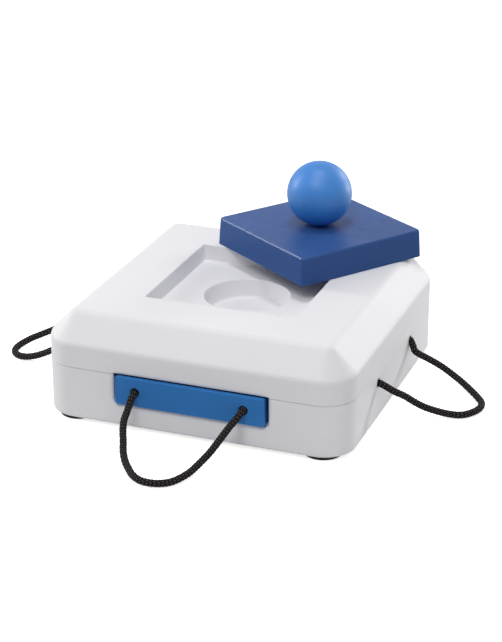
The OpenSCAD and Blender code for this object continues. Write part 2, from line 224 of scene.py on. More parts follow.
# Each lamp's name, direction from the object, distance, width, height and watts
LIGHTS = [
    ("left_box", (-0.93, 0.05, 0.38), 1.2, 0.22, 0.6, 5.2),
    ("right_rear_low_box", (0.59, 0.80, 0.02), 1.45, 0.12, 0.12, 3.5),
    ("right_rear_box", (0.40, 0.86, 0.31), 1.3, 0.3, 0.3, 3.6),
    ("right_box", (0.70, 0.10, 0.70), 1.6, 2.0, 2.0, 3.7),
    ("overhead_box", (0.0, 0.0, 1.0), 1.3, 0.3, 0.3, 4.8),
    ("front_box", (0.02, -0.57, 0.82), 1.4, 0.5, 0.5, 6.1),
]

# Routes of the cord loops outside their walls: along the wall, out from the wall, height above the floor
DRAWER_ROUTE = [
    (-0.0395, 0.0045, 0.027), (-0.04, 0.0095, 0.0215), (-0.04, 0.016, 0.0165), (-0.038, 0.0225, 0.0125),
    (-0.035, 0.029, 0.0085), (-0.0315, 0.037, 0.005), (-0.0265, 0.0455, 0.003), (-0.0195, 0.055, 0.0026),
    (-0.0135, 0.062, 0.0026), (-0.0065, 0.0665, 0.0026), (0.0005, 0.0675, 0.0026), (0.007, 0.066, 0.0026),
    (0.0125, 0.062, 0.0026), (0.0165, 0.056, 0.003), (0.0205, 0.0485, 0.0045), (0.024, 0.039, 0.0075),
    (0.0275, 0.03, 0.0115), (0.0305, 0.021, 0.0165), (0.034, 0.0115, 0.0225), (0.0375, 0.0045, 0.0275),
]
RIGHT_ROUTE = [
    (-0.038, 0.004, 0.028), (-0.035, 0.01, 0.0235), (-0.031, 0.017, 0.019), (-0.0275, 0.023, 0.014),
    (-0.0235, 0.029, 0.0095), (-0.0185, 0.036, 0.0055), (-0.015, 0.044, 0.003), (-0.013, 0.052, 0.0026),
    (-0.007, 0.058, 0.0026), (0.0015, 0.0615, 0.0026), (0.0105, 0.061, 0.0026), (0.019, 0.056, 0.0026),
    (0.028, 0.0485, 0.0032), (0.0345, 0.04, 0.0056), (0.0378, 0.0315, 0.0092), (0.0386, 0.0245, 0.0129),
    (0.038, 0.018, 0.0163), (0.0372, 0.0125, 0.019), (0.0364, 0.0078, 0.0212), (0.0362, 0.0046, 0.0233),
    (0.0374, 0.0028, 0.0264),
]
LEFT_ROUTE = [
    (-0.0385, 0.0045, 0.028), (-0.036, 0.011, 0.0245), (-0.03, 0.021, 0.0205), (-0.0225, 0.031, 0.017),
    (-0.0145, 0.04, 0.014), (-0.0055, 0.0485, 0.011), (-0.001, 0.056, 0.008), (0.0025, 0.062, 0.0055),
    (0.0085, 0.0665, 0.0035), (0.0155, 0.068, 0.0026), (0.023, 0.066, 0.0026), (0.0285, 0.0605, 0.0026),
    (0.03, 0.0535, 0.003), (0.03, 0.0455, 0.005), (0.031, 0.037, 0.009), (0.033, 0.0295, 0.0135),
    (0.0355, 0.02, 0.019), (0.0375, 0.0115, 0.024), (0.0385, 0.0045, 0.028),
]


# Camera

def make_camera():
    data = bpy.data.cameras.new("camera")
    data.lens = CAMERA_LENS
    data.sensor_width = CAMERA_SENSOR
    camera = bpy.data.objects.new("camera", data)
    bpy.context.scene.collection.objects.link(camera)
    camera.location = CAMERA_AIM + CAMERA_BACK * CAMERA_DISTANCE
    camera.rotation_euler = (-CAMERA_BACK).to_track_quat("-Z", "Y").to_euler()
    bpy.context.scene.camera = camera


# Materials

class Nodes:
    """A material's node tree, with short ways to add and join nodes."""

    def __init__(self, name):
        self.material = bpy.data.materials.new(name)
        self.material.use_nodes = True
        self.tree = self.material.node_tree
        self.shader = self.tree.nodes["Principled BSDF"]
        self.place = self.add("ShaderNodeTexCoord").outputs["Object"]

    def add(self, kind, **values):
        node = self.tree.nodes.new(kind)
        for name, value in values.items():
            if name in node.inputs:
                node.inputs[name].default_value = value
            else:
                setattr(node, name, value)
        return node

    def join(self, output, node, name):
        self.tree.links.new(output, node.inputs[name])

    def noise(self, scale, detail=3.0, rough=0.55):
        node = self.add("ShaderNodeTexNoise", Scale=scale, Detail=detail, Roughness=rough)
        self.join(self.place, node, "Vector")
        return node.outputs["Fac"]

    def spread(self, output, low, high, start=0.3, end=0.7):
        """An output from the start to the end, spread from low to high. Low and high may be outputs too."""
        node = self.add("ShaderNodeMapRange")
        values = {"Value": output, "From Min": start, "From Max": end, "To Min": low, "To Max": high}
        for name, value in values.items():
            if isinstance(value, bpy.types.NodeSocket):
                self.join(value, node, name)
            else:
                node.inputs[name].default_value = value
        return node.outputs["Result"]

    def attribute(self, name):
        return self.add("ShaderNodeAttribute", attribute_name=name).outputs["Fac"]

    def between(self, output, first, second, start=0.0):
        """A colour between two, by an output from the start to 1."""
        ramp = self.add("ShaderNodeValToRGB")
        ramp.color_ramp.elements[0].position = start
        ramp.color_ramp.elements[0].color = (*first, 1)
        ramp.color_ramp.elements[1].color = (*second, 1)
        self.join(output, ramp, "Fac")
        self.join(ramp.outputs["Color"], self.shader, "Base Color")

    def bump(self, heights, strength, distance, fade=None):
        """Stacks bumps, each a height output, in the order given. A fade output replaces their strength."""
        last = None
        for height in heights:
            node = self.add("ShaderNodeBump", Strength=strength, Distance=distance)
            self.join(height, node, "Height")
            if fade:
                self.join(fade, node, "Strength")
            if last:
                self.join(last, node, "Normal")
            last = node.outputs["Normal"]
        self.join(last, self.shader, "Normal")

    def set(self, **values):
        for name, value in values.items():
            self.shader.inputs[name.replace("_", " ")].default_value = value


def shade(color, share):
    return tuple(share * c for c in color)


def moulded_plastic(name, color, roughness, specular, tone=0.03, grain=0.12, edge=None):
    """Satin moulded plastic: a faint drift in tone and gloss, and a fine spark-eroded grain.
    Where the mesh marks polished edges, they have no grain and the roughness given as the edge."""
    nodes = Nodes(name)
    drift = nodes.noise(22.0, detail=2.0)
    sheen = nodes.noise(160.0)
    waves = nodes.noise(60.0, detail=1.0)
    grains = nodes.noise(1700.0)
    nodes.between(nodes.spread(drift, 0, 1), shade(color, 1 - tone), shade(color, 1 + tone))
    gloss = nodes.spread(sheen, roughness - GLOSS_DRIFT, roughness + GLOSS_DRIFT)
    fade = None
    if edge:
        on_edge = nodes.attribute("edge")
        gloss = nodes.spread(on_edge, gloss, edge, 0, 1)
        fade = nodes.spread(on_edge, grain, 0, 0, 1)
    nodes.join(gloss, nodes.shader, "Roughness")
    nodes.bump([waves, grains], grain, PLASTIC_GRAIN, fade)
    nodes.set(IOR=1.47, Specular_IOR_Level=specular)
    return nodes.material


def cord_fabric():
    """Black braided cord with fine fibres, and painted shade: near black in the grooves, lighter on the
    crests.
    """
    nodes = Nodes("cord_fabric")
    crest = nodes.attribute("crest")
    wear = nodes.noise(900.0)
    fibres = nodes.noise(4200.0, detail=2.0)
    # Painted shade and light by the braid's height: near black in the grooves, lighter on the crests
    nodes.between(crest, (0.0015, 0.0013, 0.0013), (0.088, 0.075, 0.074), start=0.62)
    gloss = nodes.spread(crest, 1, nodes.spread(wear, 0.45, 0.65), 0.6, 1)
    nodes.join(gloss, nodes.shader, "Roughness")
    nodes.bump([fibres], 0.35, CORD_FIBRE)
    nodes.set(Specular_IOR_Level=0.12)
    return nodes.material


def foot_rubber():
    nodes = Nodes("foot_rubber")
    mottle = nodes.noise(240.0)
    wear = nodes.noise(500.0)
    grains = nodes.noise(1900.0)
    nodes.between(nodes.spread(mottle, 0, 1), (0.010, 0.010, 0.010), (0.020, 0.020, 0.021))
    nodes.join(nodes.spread(wear, 0.7, 0.9), nodes.shader, "Roughness")
    nodes.bump([grains], 0.3, RUBBER_GRAIN)
    nodes.set(Specular_IOR_Level=0.3)
    return nodes.material


def screw_steel():
    nodes = Nodes("screw_steel")
    mottle = nodes.noise(700.0)
    wear = nodes.noise(1500.0)
    grains = nodes.noise(2600.0)
    nodes.between(nodes.spread(mottle, 0, 1), (0.50, 0.51, 0.53), (0.66, 0.67, 0.69))
    nodes.join(nodes.spread(wear, 0.25, 0.42), nodes.shader, "Roughness")
    nodes.bump([grains], 0.15, STEEL_GRAIN)
    nodes.set(Metallic=1.0)
    return nodes.material


MATERIALS = {
    "shell_plastic": moulded_plastic("shell_plastic", (0.855, 0.85, 0.875), 0.50, 0.30, tone=0.008),
    "drawer_plastic": moulded_plastic("drawer_plastic", (0.042, 0.200, 0.537), 0.40, 0.05),
    "lid_plastic": moulded_plastic("lid_plastic", (0.033, 0.091, 0.282), 0.38, 0.14, edge=0.18),
    "ball_plastic": moulded_plastic("ball_plastic", (0.036, 0.225, 0.65), 0.47, 0.7),
    "rope_cord": cord_fabric(),
    "foot_rubber": foot_rubber(),
    "screw_steel": screw_steel(),
}


# Mesh building

def quarter_turn(start_inset, start_height, run, rise, steps, convex):
    """Points of a quarter ellipse between two lines that are square to each other, as (inset, height).
    A convex one leaves along the inset and ends along the height; a concave one the other way round."""
    points = []
    for i in range(steps + 1):
        a = QUARTER * i / steps
        across, along = (math.sin(a), 1 - math.cos(a)) if convex else (1 - math.cos(a), math.sin(a))
        points.append((start_inset + run * across, start_height + rise * along))
    return points


def rounded_ring(half_x, half_y, radius, height, corner_steps=12, side_steps=20, lower_radius=None):
    """Points round a rounded rectangle, anticlockwise from its right side's upper end."""
    radii = [radius, radius] + 2 * [radius if lower_radius is None else lower_radius]
    signs = ((1, 1), (-1, 1), (-1, -1), (1, -1))
    corners = []
    for k, ((sx, sy), r) in enumerate(zip(signs, radii)):
        middle = Vector((sx * (half_x - r), sy * (half_y - r), height))
        angles = [QUARTER * (k + i / corner_steps) for i in range(corner_steps + 1)]
        corners.append([middle + r * Vector((math.cos(a), math.sin(a), 0)) for a in angles])
    points = []
    for corner, following in zip(corners, corners[1:] + corners[:1]):
        points += corner
        points += [corner[-1].lerp(following[0], i / side_steps) for i in range(1, side_steps)]
    return points


def square_ring(half, radius, height):
    return rounded_ring(half, half, radius, height)


def circle_ring(radius, height, like):
    """A circle whose points lie in the directions of another ring's points."""
    return [Vector((p.x, p.y, 0)).normalized() * radius + Vector((0, 0, height)) for p in like]


def lathe_rings(profile, sides=ROUND_SIDES):
    """Rings of a body of revolution about Z, from (radius, height) pairs."""
    angles = [TAU * i / sides for i in range(sides)]
    return [[Vector((r * math.cos(a), r * math.sin(a), z)) for a in angles] for r, z in profile]


def moved(rings, matrix):
    return [[matrix @ p for p in ring] for ring in rings]


def solid(name, *stacks, loop=False):
    """An object of one closed solid for each stack of rings. A loop joins the last ring to the first."""
    mesh = bmesh.new()
    for rings in stacks:
        made = [[mesh.verts.new(p) for p in ring] for ring in rings]
        follow = made[1:] + made[:1] if loop else made[1:]
        for low, high in zip(made, follow):
            for i in range(len(low)):
                mesh.faces.new((low[i - 1], low[i], high[i], high[i - 1]))
        if not loop:
            mesh.faces.new(made[0][::-1])
            mesh.faces.new(made[-1])
    bmesh.ops.recalc_face_normals(mesh, faces=mesh.faces)
    data = bpy.data.meshes.new(name)
    mesh.to_mesh(data)
    mesh.free()
    made_object = bpy.data.objects.new(name, data)
    bpy.context.scene.collection.objects.link(made_object)
    return made_object


def box_rings(low, high):
    """Rings of a plain box between two corners."""
    corners = ((low[0], low[1]), (high[0], low[1]), (high[0], high[1]), (low[0], high[1]))
    return [[Vector((x, y, z)) for x, y in corners] for z in (low[2], high[2])]


def combine(target, tool, operation):
    """Adds or cuts the tool, which is then removed."""
    step = target.modifiers.new("combine", "BOOLEAN")
    step.operation = operation
    step.solver = "EXACT"
    step.object = tool
    depsgraph = bpy.context.evaluated_depsgraph_get()
    result = bpy.data.meshes.new_from_object(target.evaluated_get(depsgraph))
    target.modifiers.clear()
    target.data = result
    bpy.data.objects.remove(tool)


def dress(piece, body, slot, nodes, sharp=32):
    """Smooth shading, material and place in the frame for a finished piece."""
    data = piece.data
    data.materials.clear()
    data.materials.append(MATERIALS[slot])
    data.shade_smooth()
    data.set_sharp_from_angle(angle=math.radians(sharp))
    normals = piece.modifiers.new("flat faces stay flat", "WEIGHTED_NORMAL")
    normals.keep_sharp = True
    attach(piece, body)
    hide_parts(*nodes)
    return piece


# Cords

def on_drawer(along, out, height):
    return Vector((along, DRAWER_FACE - out, height))


def on_right(along, out, height):
    return Vector((HALF + out, along, height))


def on_left(along, out, height):
    return Vector((-HALF - out, -along, height))


def smooth_path(points, step):
    """Even steps along a smooth curve through the points."""
    p = np.array([tuple(q) for q in points])
    p = np.vstack([2 * p[0] - p[1], p, 2 * p[-1] - p[-2]])
    knots = np.concatenate([[0], np.cumsum(np.linalg.norm(np.diff(p, axis=0), axis=1) ** 0.5)])
    fine = []
    for i in range(1, len(p) - 2):
        t0, t1, t2, t3 = knots[i - 1:i + 3]
        t = np.linspace(t1, t2, PATH_STEPS, endpoint=i == len(p) - 3)[:, None]
        a1 = (t1 - t) / (t1 - t0) * p[i - 1] + (t - t0) / (t1 - t0) * p[i]
        a2 = (t2 - t) / (t2 - t1) * p[i] + (t - t1) / (t2 - t1) * p[i + 1]
        a3 = (t3 - t) / (t3 - t2) * p[i + 1] + (t - t2) / (t3 - t2) * p[i + 2]
        b1 = (t2 - t) / (t2 - t0) * a1 + (t - t0) / (t2 - t0) * a2
        b2 = (t3 - t) / (t3 - t1) * a2 + (t - t1) / (t3 - t1) * a3
        fine.append((t2 - t) / (t2 - t1) * b1 + (t - t1) / (t2 - t1) * b2)
    fine = np.vstack(fine)
    run = np.concatenate([[0], np.cumsum(np.linalg.norm(np.diff(fine, axis=0), axis=1))])
    places = np.linspace(0, run[-1], int(run[-1] / step) + 1)
    return np.column_stack([np.interp(places, run, fine[:, k]) for k in range(3)]), places


def float_height(across, lengthwise):
    """Height of a strand where it floats over those it crosses, from 0 at its edge to 1 at its middle."""
    side = 2 * (across % 1) - 1
    run = ((lengthwise + 2) % 4 - 2) / BRAID_FLOAT
    return np.sqrt(np.clip(1 - side ** 2, 0, 1)) * np.sqrt(np.clip(1 - run ** 2, 0, 1))


def braid(angle, along):
    """Height of a two-over, two-under braid's surface, from 0 in a groove to 1 on a crest."""
    first = BRAID_STRANDS * angle / TAU + along / BRAID_PITCH
    second = BRAID_STRANDS * angle / TAU - along / BRAID_PITCH
    right_lay = float_height(first, second - np.floor(first) - 1)
    left_lay = float_height(second, first - np.floor(second) + 2)
    return np.maximum(right_lay, left_lay)


def braided_tube(name, line, places, diameter=CORD):
    """A braided cord along a line of even steps, closed at both ends."""
    ahead = np.gradient(line, axis=0)
    ahead /= np.linalg.norm(ahead, axis=1)[:, None]
    side = np.cross(ahead[0], CORD_FIRST_SIDE)
    sides = []
    for direction in ahead:
        side = side - direction * (side @ direction)
        side = side / np.linalg.norm(side)
        sides.append(side)
    sides = np.array(sides)
    ups = np.cross(ahead, sides)
    angle = np.arange(CORD_SIDES) * TAU / CORD_SIDES
    crest = braid(angle[None, :], places[:, None])
    radius = diameter / 2 - BRAID_DEPTH * (1 - crest) + BRAID_SWELL
    around = np.cos(angle)[None, :, None] * sides[:, None] + np.sin(angle)[None, :, None] * ups[:, None]
    points = (line[:, None] + radius[..., None] * around).reshape(-1, 3)
    rings = len(line)
    index = np.arange(rings * CORD_SIDES).reshape(rings, CORD_SIDES)
    beside = np.roll(index, -1, axis=1)
    quads = np.stack([index[:-1], beside[:-1], beside[1:], index[1:]], axis=-1).reshape(-1, 4)
    faces = quads.tolist() + [index[0][::-1].tolist(), index[-1].tolist()]
    data = bpy.data.meshes.new(name)
    data.from_pydata(points.tolist(), [], faces)
    # The braid's height at each point, which the cord's material also uses to paint shade into the grooves
    shown = data.attributes.new("crest", "FLOAT", "POINT")
    shown.data.foreach_set("value", crest.astype(np.float32).ravel())
    data.shade_smooth()
    data.materials.append(MATERIALS["rope_cord"])
    tube = bpy.data.objects.new(name, data)
    bpy.context.scene.collection.objects.link(tube)
    return tube


def end_knot(node, place, side, wall, body):
    """An overhand knot behind a wall, with its short tail, in the space of its solid."""
    turns = []
    for i in range(KNOT_STEPS + 1):
        t = KNOT_START + KNOT_TURN * i / KNOT_STEPS
        along = KNOT_LOOP * (math.sin(t) + 2 * math.sin(2 * t))
        up = KNOT_LOOP * (math.cos(t) - 2 * math.cos(2 * t))
        depth = KNOT_DEPTH - KNOT_SWING * math.sin(3 * t)
        turns.append(place(side * CORD_PITCH / 2 + along, -wall - depth, CORD_HEIGHT + up))
    line, places = smooth_path(turns, CORD_STEP)
    knot = braided_tube(node + "_tied", line, places, diameter=KNOT_CORD)
    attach(knot, body)
    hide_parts(node)
    return knot


def cord_loop(node, route, place, wall, body, knots):
    """A cord loop from the wall's inner face, out along its route and back, with its end knots."""
    first = [place(-CORD_PITCH / 2, out, CORD_HEIGHT) for out in (-wall, 0)]
    last = [place(CORD_PITCH / 2, out, CORD_HEIGHT) for out in (0, -wall)]
    line, places = smooth_path(first + [place(*p) for p in route] + last, CORD_STEP)
    loop = braided_tube(node + "_braid", line, places)
    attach(loop, body)
    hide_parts(node)
    tied = [end_knot(name, place, side, wall, body) for name, side in zip(knots, (-1, 1))]


def make_cords():
    cord_loop("drawer_rope", DRAWER_ROUTE, on_drawer, DRAWER_FRONT, "drawer",
              ("drawer_rope_knot_left", "drawer_rope_knot_right"))
    cord_loop("right_rope", RIGHT_ROUTE, on_right, WALL, "case",
              ("right_rope_knot_front", "right_rope_knot_rear"))
    cord_loop("left_rope", LEFT_ROUTE, on_left, WALL, "case",
              ("left_rope_knot_rear", "left_rope_knot_front"))


# Case

def case_ring(height, inset, radius):
    return square_ring(HALF - inset, radius, height)


def bevel_corner(inset):
    return CORNER - (CORNER - TOP_CORNER) * min(1, inset / BEVEL_RUN)


def bevel_profile(rise):
    """How far in the upper shell's outside lies, by height: wall, shoulder, bevel, rim and flat top."""
    lean = math.atan2(BEVEL_RUN, rise)
    shoulder = TOP - rise
    tangent = SHOULDER_RADIUS * math.tan(lean / 2)
    rim_tangent = RIM_RADIUS * math.tan((QUARTER - lean) / 2)
    heights, insets = [SEAM], [0]
    for i in range(SHOULDER_STEPS + 1):
        a = lean * i / SHOULDER_STEPS
        heights.append(shoulder - tangent + SHOULDER_RADIUS * math.sin(a))
        insets.append(SHOULDER_RADIUS * (1 - math.cos(a)))
    for i in range(RIM_STEPS + 1):
        a = lean + (QUARTER - lean) * i / RIM_STEPS
        heights.append(TOP - RIM_RADIUS + RIM_RADIUS * math.sin(a))
        insets.append(BEVEL_RUN + rim_tangent - RIM_RADIUS * math.cos(a))
    return heights, insets


def upper_outside(lower=0.0):
    """Rings of the upper shell's outside, from the seam to the flat top, sunk by an amount."""
    front = bevel_profile(FRONT_BEVEL_RISE)
    side = bevel_profile(BEVEL_RISE)
    heights = [SEAM + SEAM_EDGE, SEAM + 3 * SEAM_EDGE] + sorted(set(front[0][1:] + side[0][1:]))
    rings = [case_ring(SEAM - lower, SEAM_EDGE + lower, CORNER - SEAM_EDGE)]
    for height in heights:
        inset_x = float(np.interp(height, *side))
        inset_y = float(np.interp(height, *front))
        half_x = HALF - inset_x - lower
        half_y = HALF - inset_y - lower
        rings.append(rounded_ring(half_x, half_y, bevel_corner(inset_x), height - lower))
    return rings


def recess_rings(grow):
    """Rings from the flat top down the recess to the cup's floor, or grown for their underside."""
    edge = RECESS_EDGE if grow == 0 else 0
    half = RECESS_HALF + grow
    corner = RECESS_CORNER + grow
    top = TOP - grow
    floor = RECESS_FLOOR - grow
    rings = []
    for out, drop in quarter_turn(edge, 0, -edge, -edge, 5, True):
        rings.append(square_ring(half + out, corner + out, top + drop))
    for inset, height in quarter_turn(0, RECESS_FILLET, RECESS_FILLET, -RECESS_FILLET, 5, False):
        rings.append(square_ring(half - RECESS_DRAFT - inset, corner, floor + height))
    like = rings[-1]
    cup_edge = CUP_EDGE if grow == 0 else 0
    for out, drop in quarter_turn(cup_edge, 0, -cup_edge, -cup_edge, 5, True):
        rings.append(circle_ring(CUP_RADIUS + grow + out, floor + drop, like))
    for inset, height in quarter_turn(0, CUP_FILLET, CUP_FILLET, -CUP_FILLET, 6, False):
        rings.append(circle_ring(CUP_FLOOR_RADIUS + grow - inset, CUP_FLOOR - grow + height, like))
    return rings


def distinct(rings):
    """The rings without those that repeat the one before."""
    kept = [rings[0]]
    for ring in rings[1:]:
        if max((p - q).length for p, q in zip(ring, kept[-1])) > SAME_PLACE:
            kept.append(ring)
    return kept


def at_feet(rings):
    """The rings at each of the case's four corners."""
    places = [(x, y) for x in (-FOOT_X, FOOT_X) for y in (-FOOT_Y, FOOT_Y)]
    return [moved(rings, Matrix.Translation((x, y, 0))) for x, y in places]


def opening_cutter(low, high, corner):
    """The drawer's opening, flared at the wall's outer face."""
    middle = (low + high) / 2
    flare = [(OPENING_FLARE + PAST, -PAST)]
    flare += quarter_turn(OPENING_FLARE, 0, -OPENING_FLARE, OPENING_FLARE_DEPTH, 8, True)
    flare.append((0, WALL + 2 * PAST))
    rings = []
    for out, depth in flare:
        ring = rounded_ring(OPENING_HALF + out, (high - low) / 2 + out, corner + out, 0, 8, 6)
        rings.append([Vector((p.x, depth - HALF, middle + p.y)) for p in ring])
    return solid("opening", rings)


def hole_cutters(walls):
    """Cord holes with softened edges, for each wall as (place on it, thickness)."""
    profile = [(CORD_HOLE / 2 + HOLE_EDGE + PAST, -PAST)]
    rounded = quarter_turn(HOLE_EDGE, 0, -HOLE_EDGE, HOLE_EDGE, 4, True)
    profile += [(CORD_HOLE / 2 + out, depth) for out, depth in rounded]
    stacks = []
    for place, thickness in walls:
        for side in (-1, 1):
            rings = []
            for radius, depth in profile + [(CORD_HOLE / 2, thickness + PAST)]:
                turn = [TAU * i / HOLE_SIDES for i in range(HOLE_SIDES)]
                rings.append([place(side * CORD_PITCH / 2 + radius * math.cos(a), -depth,
                                    CORD_HEIGHT + radius * math.sin(a)) for a in turn])
            stacks.append(rings)
    return solid("cord_holes", *stacks)


def make_upper_shell():
    lean = math.atan2(BEVEL_RUN, BEVEL_RISE)
    inner_top = BEVEL_RUN + WALL * math.tan((QUARTER - lean) / 2)
    outside = upper_outside() + recess_rings(0)
    inside = [
        case_ring(SEAM, WALL, CORNER - WALL),
        case_ring(TOP - BEVEL_RISE - WALL * math.tan(lean / 2), WALL, CORNER - WALL),
        case_ring(TOP - WALL, inner_top, TOP_CORNER),
    ] + recess_rings(WALL)
    shell = solid("upper_shell_moulded", distinct(inside[::-1] + outside))
    bosses = solid("bosses", *at_feet(lathe_rings([(BOSS_RADIUS, SEAM), (BOSS_RADIUS, TOP)])))
    combine(bosses, solid("limit", upper_outside(lower=WALL / 2)), "INTERSECT")
    combine(shell, bosses, "UNION")
    pilots = at_feet(lathe_rings([(SCREW_PILOT, SEAM - PAST), (SCREW_PILOT, PILOT_TOP)], PILOT_SIDES))
    combine(shell, solid("pilots", *pilots), "DIFFERENCE")
    combine(shell, opening_cutter(OPENING_BOTTOM, SEAM + OPENING_NICK, PAST), "DIFFERENCE")
    dress(shell, "case", "shell_plastic", ["upper_shell"])


def make_lower_shell():
    outside = [case_ring(BOTTOM + height, BOTTOM_RADIUS - out, CORNER - BOTTOM_RADIUS + out)
               for out, height in quarter_turn(0, 0, BOTTOM_RADIUS, BOTTOM_RADIUS, 6, True)]
    side_half = HALF - SEAM_STEP
    groove = HALF - SEAM_GROOVE
    groove_corner = CORNER - SEAM_GROOVE
    outside += [
        case_ring(SEAM - 2 * SEAM_DROP, 0, CORNER),
        case_ring(SEAM - SEAM_DROP, 0, CORNER),
        rounded_ring(HALF - SEAM_STEP * SEAM_STEP_SHARE, HALF, CORNER, SEAM - SEAM_DROP / 2),
        rounded_ring(side_half, HALF - SEAM_EDGE, CORNER - SEAM_EDGE, SEAM - SEAM_GAP),
        rounded_ring(side_half - SEAM_EDGE, groove, groove_corner, SEAM - SEAM_GAP),
        rounded_ring(side_half - 2 * SEAM_EDGE, groove, groove_corner, SEAM),
        case_ring(SEAM, WALL, CORNER - WALL),
    ]
    inside = [case_ring(BOTTOM + WALL + height, WALL + inset, CORNER - WALL - inset)
              for inset, height in quarter_turn(0, BOTTOM_RADIUS, BOTTOM_RADIUS, -BOTTOM_RADIUS, 4, False)]
    shell = solid("lower_shell_moulded", outside + inside)
    base = BOTTOM + WALL - SUNK
    front = -HALF + WALL - SUNK
    back = DRAWER_BACK + TUNNEL_PLAY + TUNNEL_WALL
    outer = OPENING_HALF + TUNNEL_WALL
    bosses = at_feet(lathe_rings([(BOSS_RADIUS, BOTTOM + SUNK), (BOSS_RADIUS, SEAM)]))
    combine(shell, solid("bosses", *bosses), "UNION")
    for side in (-1, 1):
        left, right = sorted((side * OPENING_HALF, side * outer))
        wall = box_rings((left, front, base), (right, back, TUNNEL_TOP))
        combine(shell, solid("tunnel_wall", wall), "UNION")
        left, right = sorted((side * (OPENING_HALF - RUNNER_WIDTH), side * (OPENING_HALF + SUNK)))
        runner = box_rings((left, front, base), (right, back - SUNK, OPENING_BOTTOM))
        combine(shell, solid("runner", runner), "UNION")
    rear_low = (-outer + SUNK, back - TUNNEL_WALL, base)
    rear_high = (outer - SUNK, back - HAIR, TUNNEL_TOP - HAIR)
    combine(shell, solid("tunnel_back", box_rings(rear_low, rear_high)), "UNION")
    combine(shell, opening_cutter(OPENING_BOTTOM, SEAM + OPENING_OVER_SEAM, OPENING_CORNER), "DIFFERENCE")
    combine(shell, hole_cutters([(on_right, WALL), (on_left, WALL)]), "DIFFERENCE")
    bore = [
        (COUNTERBORE, BOTTOM - PAST), (COUNTERBORE, SCREW_SEAT),
        (SCREW_HOLE, SCREW_SEAT), (SCREW_HOLE, SEAM + PAST),
    ]
    combine(shell, solid("bores", *at_feet(lathe_rings(bore, HOLE_SIDES))), "DIFFERENCE")
    dress(shell, "case", "shell_plastic", ["lower_shell"])


# Drawer

def make_drawer():
    middle = (DRAWER_BOTTOM + DRAWER_TOP) / 2
    half_height = (DRAWER_TOP - DRAWER_BOTTOM) / 2
    plate = []
    sections = [(DRAWER_REAR_EDGE, 0), (0, DRAWER_REAR_EDGE)]
    sections += quarter_turn(0, DRAWER_FRONT - DRAWER_EDGE, DRAWER_EDGE, DRAWER_EDGE, 8, False)
    for inset, forward in sections:
        ring = rounded_ring(DRAWER_HALF - inset, half_height - inset, DRAWER_TOP_CORNER - inset, 0, 10, 16,
                            DRAWER_CORNER - inset)
        for p in ring:
            p.x *= 1 - DRAWER_LEAN / DRAWER_HALF * (p.y + half_height) / (2 * half_height)
        plate.append([Vector((p.x, DRAWER_FACE + DRAWER_FRONT - forward, middle + p.y)) for p in ring])
    drawer = solid("drawer_moulded", plate)

    tray_half = DRAWER_HALF - TRAY_STEP
    front = DRAWER_FACE + DRAWER_FRONT - SUNK

    def tray_ring(inset, height):
        half_length = (DRAWER_BACK - front) / 2
        ring = rounded_ring(tray_half - inset, half_length - inset, TRAY_CORNER, height, 8, 10)
        return [p + Vector((0, front + half_length, 0)) for p in ring]

    rings = [tray_ring(TRAY_EDGE - out, DRAWER_BOTTOM + height)
             for out, height in quarter_turn(0, 0, TRAY_EDGE, TRAY_EDGE, 4, True)]
    rings += [tray_ring(inset, TRAY_TOP - TRAY_LIP + height)
              for inset, height in quarter_turn(0, 0, TRAY_LIP, TRAY_LIP, 4, False)]
    rings += [tray_ring(DRAWER_WALL - TRAY_LIP + inset, TRAY_TOP + height)
              for inset, height in quarter_turn(0, 0, TRAY_LIP, -TRAY_LIP, 4, True)]
    rings += [tray_ring(DRAWER_WALL + inset, DRAWER_BOTTOM + DRAWER_WALL + height)
              for inset, height in quarter_turn(0, TRAY_FILLET, TRAY_FILLET, -TRAY_FILLET, 6, False)]
    combine(drawer, solid("tray", rings), "UNION")
    for side in (-1, 1):
        left, right = sorted((side * (tray_half - DRAWER_WALL), side * (tray_half - 2 * HAIR)))
        tab = box_rings((left, STOP_FRONT, TRAY_TOP - SUNK), (right, STOP_FRONT + STOP_LENGTH, STOP_TOP))
        combine(drawer, solid("stop_tab", tab), "UNION")
    combine(drawer, hole_cutters([(on_drawer, DRAWER_FRONT)]), "DIFFERENCE")
    dress(drawer, "drawer", "drawer_plastic", ["drawer"])


# Lid and ball

def on_laid_lid():
    return Matrix.Translation(LID_MIDDLE) @ Matrix.Rotation(LID_TURN, 4, "Z")


def make_lid():
    outer = [(LID_HALF - LID_FOOT_EDGE + out, height)
             for out, height in quarter_turn(0, 0, LID_FOOT_EDGE, LID_FOOT_EDGE, 3, True)]
    top_half = LID_HALF - LID_DRAFT
    outer += [(top_half - LID_EDGE_RUN * run, LID_HEIGHT - LID_EDGE * (1 - rise))
              for run, rise in LID_CHAMFER]
    rings = []
    for half, height in outer:
        rings.append(square_ring(half, LID_CORNER - max(top_half - half, 0), height))
    like = rings[-1]
    rings.append(circle_ring(KNOB_HOLE, LID_HEIGHT, like))
    rings += [circle_ring(radius, LID_BOSS_BOTTOM, like) for radius in (KNOB_HOLE, LID_BOSS_RADIUS)]
    ceiling = LID_HEIGHT - LID_WALL
    rings.append(circle_ring(LID_BOSS_RADIUS, ceiling, like))
    inner = LID_HALF - LID_WALL
    rings += [square_ring(inner - LID_DRAFT - inset, LID_INNER_CORNER, ceiling - drop)
              for inset, drop in quarter_turn(LID_FILLET, 0, -LID_FILLET, LID_FILLET, 5, True)]
    rings.append(square_ring(inner, LID_INNER_CORNER, 0))
    lid = solid("lid_moulded", moved(rings, on_laid_lid()), loop=True)
    polished = np.zeros((len(rings), len(rings[0])), dtype=np.float32)
    polished[len(outer) - len(LID_CHAMFER) + 1:len(outer) - 1] = 1
    edge = lid.data.attributes.new("edge", "FLOAT", "POINT")
    edge.data.foreach_set("value", polished.ravel())
    dress(lid, "lid", "lid_plastic", ["lid"])


